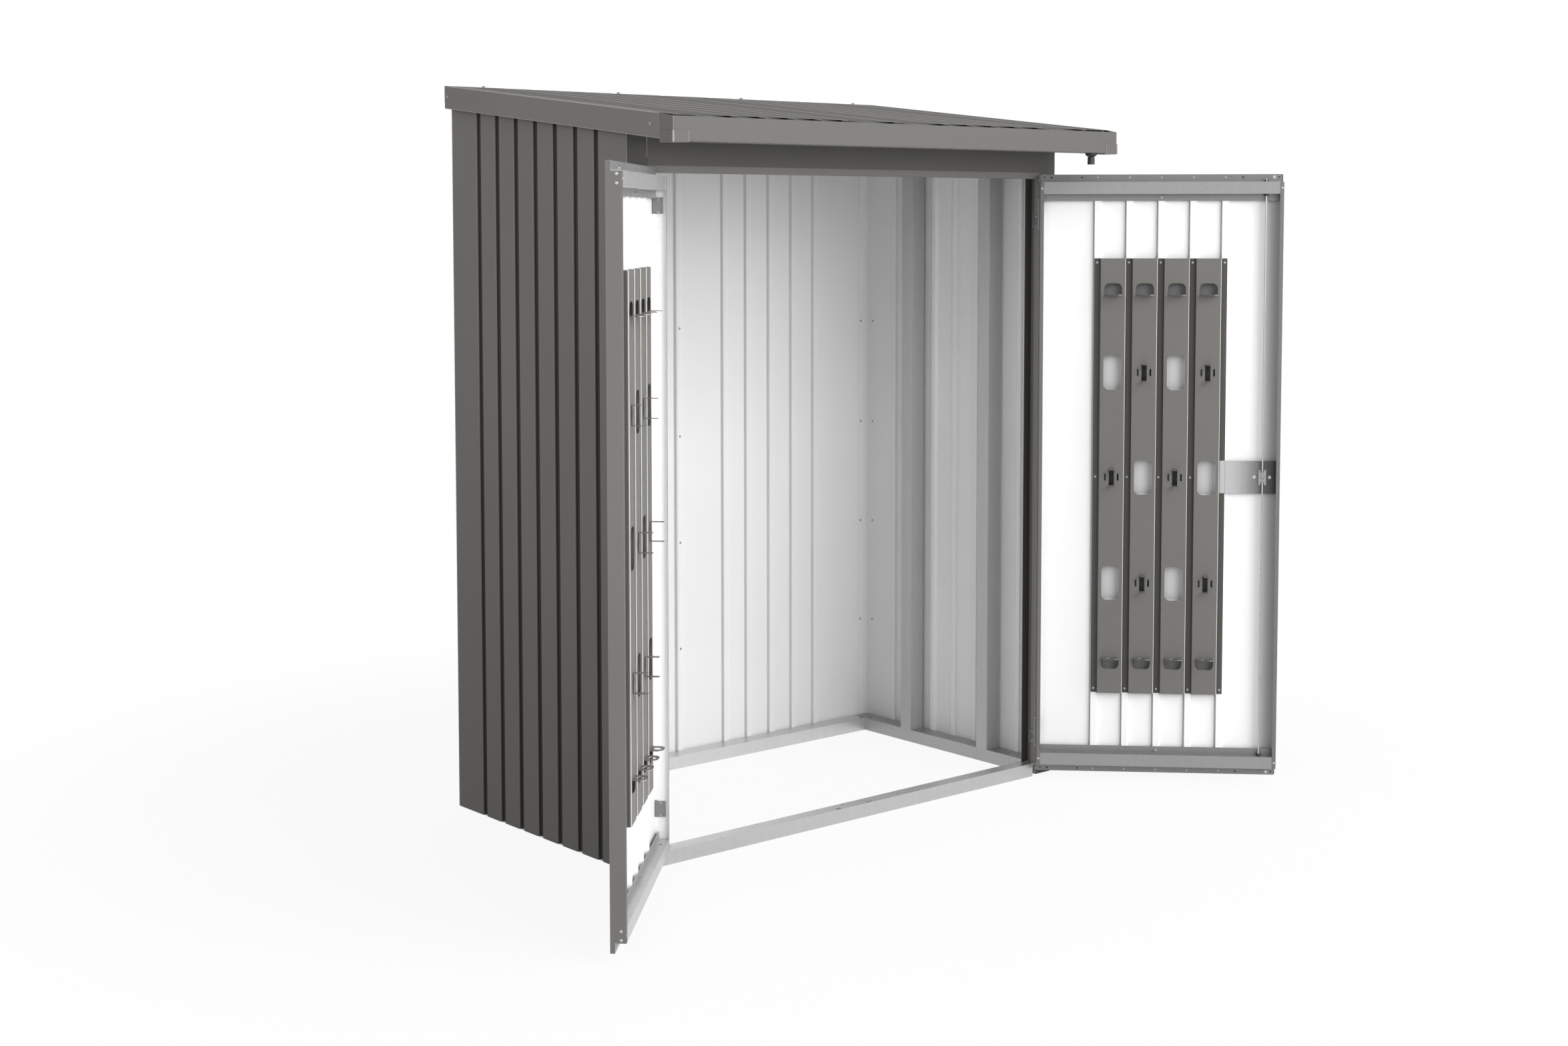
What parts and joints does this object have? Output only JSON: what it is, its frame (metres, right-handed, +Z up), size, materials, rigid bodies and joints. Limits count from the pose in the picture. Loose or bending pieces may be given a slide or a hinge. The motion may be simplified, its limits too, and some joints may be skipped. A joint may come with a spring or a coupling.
{
  "type": "garden log store",
  "caption": "Tall metal log store with a lean-to roof, gutter, double doors that hold tool panels, and a rod lock.",
  "frame": {"origin": "middle of the body's footprint on the ground, at the centre of the ground anchor holes", "axes": "+X to the right seen from the front, +Y to the rear wall, +Z up"},
  "size_m": [2.3648, 1.3251, 1.993],
  "materials": {
    "sheet_paint": "satin metallic grey outside, off-white inside",
    "trim_paint": "satin metallic grey",
    "panel_paint": "satin metallic grey",
    "inner_white": "satin off-white",
    "galvanised": "dull galvanised",
    "hinge_steel": "zinc plated",
    "bright_steel": "zinc plated",
    "zinc_screws": "zinc plated",
    "black_plastic": "matt black",
    "handle_black": "satin black"
  },
  "bodies": {
    "frame": {"front_beam": "galvanised", "rear_rail": "galvanised", "left_rail": "galvanised", "right_rail": "galvanised", "anchor_plates": "galvanised", "corner_plates": "galvanised", "left_post": "trim_paint", "right_post": "trim_paint", "left_wall": "sheet_paint", "right_wall": "sheet_paint", "left_rear_panel": "sheet_paint", "right_rear_panel": "sheet_paint", "left_studs": "inner_white", "right_studs": "inner_white", "head_beam": "trim_paint", "lintel": "trim_paint", "rear_top_rail": "galvanised", "left_top_rail": "galvanised", "right_top_rail": "galvanised", "left_roof_sheet": "sheet_paint", "right_roof_sheet": "sheet_paint", "left_fascia": "trim_paint", "right_fascia": "trim_paint", "rear_trim": "trim_paint", "gutter": "trim_paint", "left_gutter_end": "trim_paint", "right_gutter_end": "trim_paint", "drain_spout": "black_plastic", "frame_screws": "zinc_screws", "roof_screws": "zinc_screws", "left_hinge_brackets": "hinge_steel", "right_hinge_brackets": "hinge_steel", "left_hinge_pins": "bright_steel", "right_hinge_pins": "bright_steel"},
    "left_door": {"left_door_skin": "sheet_paint", "left_door_top_rail": "galvanised", "left_door_bottom_rail": "galvanised", "left_tool_panel": "panel_paint", "left_door_hinges": "hinge_steel", "left_door_screws": "zinc_screws", "left_bolt_guides": "bright_steel"},
    "left_top_bolt": {"left_top_bolt": "bright_steel"},
    "left_bottom_bolt": {"left_bottom_bolt": "bright_steel"},
    "right_door": {"right_door_skin": "sheet_paint", "right_door_top_rail": "galvanised", "right_door_bottom_rail": "galvanised", "right_tool_panel": "panel_paint", "right_door_hinges": "hinge_steel", "right_door_screws": "zinc_screws", "lock_plate": "galvanised", "lock_case": "bright_steel", "rod_guides": "black_plastic", "handle_plate": "handle_black"},
    "handle": {"door_handle": "handle_black", "lock_cam": "bright_steel"},
    "upper_rod": {"upper_lock_rod": "bright_steel"},
    "lower_rod": {"lower_lock_rod": "bright_steel"},
    "key": {"key_cylinder": "bright_steel"}
  },
  "joints": [
    {"name": "left_door", "type": "hinge", "parent": "frame", "child": "left_door", "pos_m": [-0.6905, -0.4107, 0.9], "axis": [0, 0, 1], "range_deg": [0, 135]},
    {"name": "right_door", "type": "hinge", "parent": "frame", "child": "right_door", "pos_m": [0.6905, -0.4107, 0.9], "axis": [0, 0, 1], "range_deg": [-135, 0]},
    {"name": "handle_turn", "type": "hinge", "parent": "right_door", "child": "handle", "pos_m": [1.14595, -0.86148, 0.8885], "axis": [-0.7071, -0.7071, 0], "range_deg": [0, 90]},
    {"name": "upper_rod_slide", "type": "slide", "parent": "right_door", "child": "upper_rod", "axis": [0, 0, 1], "range_m": [0, 0.0165]},
    {"name": "lower_rod_slide", "type": "slide", "parent": "right_door", "child": "lower_rod", "axis": [0, 0, -1], "range_m": [0, 0.0165]},
    {"name": "key_turn", "type": "hinge", "parent": "right_door", "child": "key", "pos_m": [1.14595, -0.86148, 0.8585], "axis": [-0.7071, -0.7071, 0], "range_deg": [0, 90]},
    {"name": "left_top_bolt_slide", "type": "slide", "parent": "left_door", "child": "left_top_bolt", "axis": [0, 0, 1], "range_m": [0, 0.0165]},
    {"name": "left_bottom_bolt_slide", "type": "slide", "parent": "left_door", "child": "left_bottom_bolt", "axis": [0, 0, -1], "range_m": [0, 0.0165]}
  ],
  "couplings": [
    {"joint": "upper_rod_slide", "follows": "handle_turn", "m_per_rad": 0.010504},
    {"joint": "lower_rod_slide", "follows": "handle_turn", "m_per_rad": 0.010504}
  ]
}
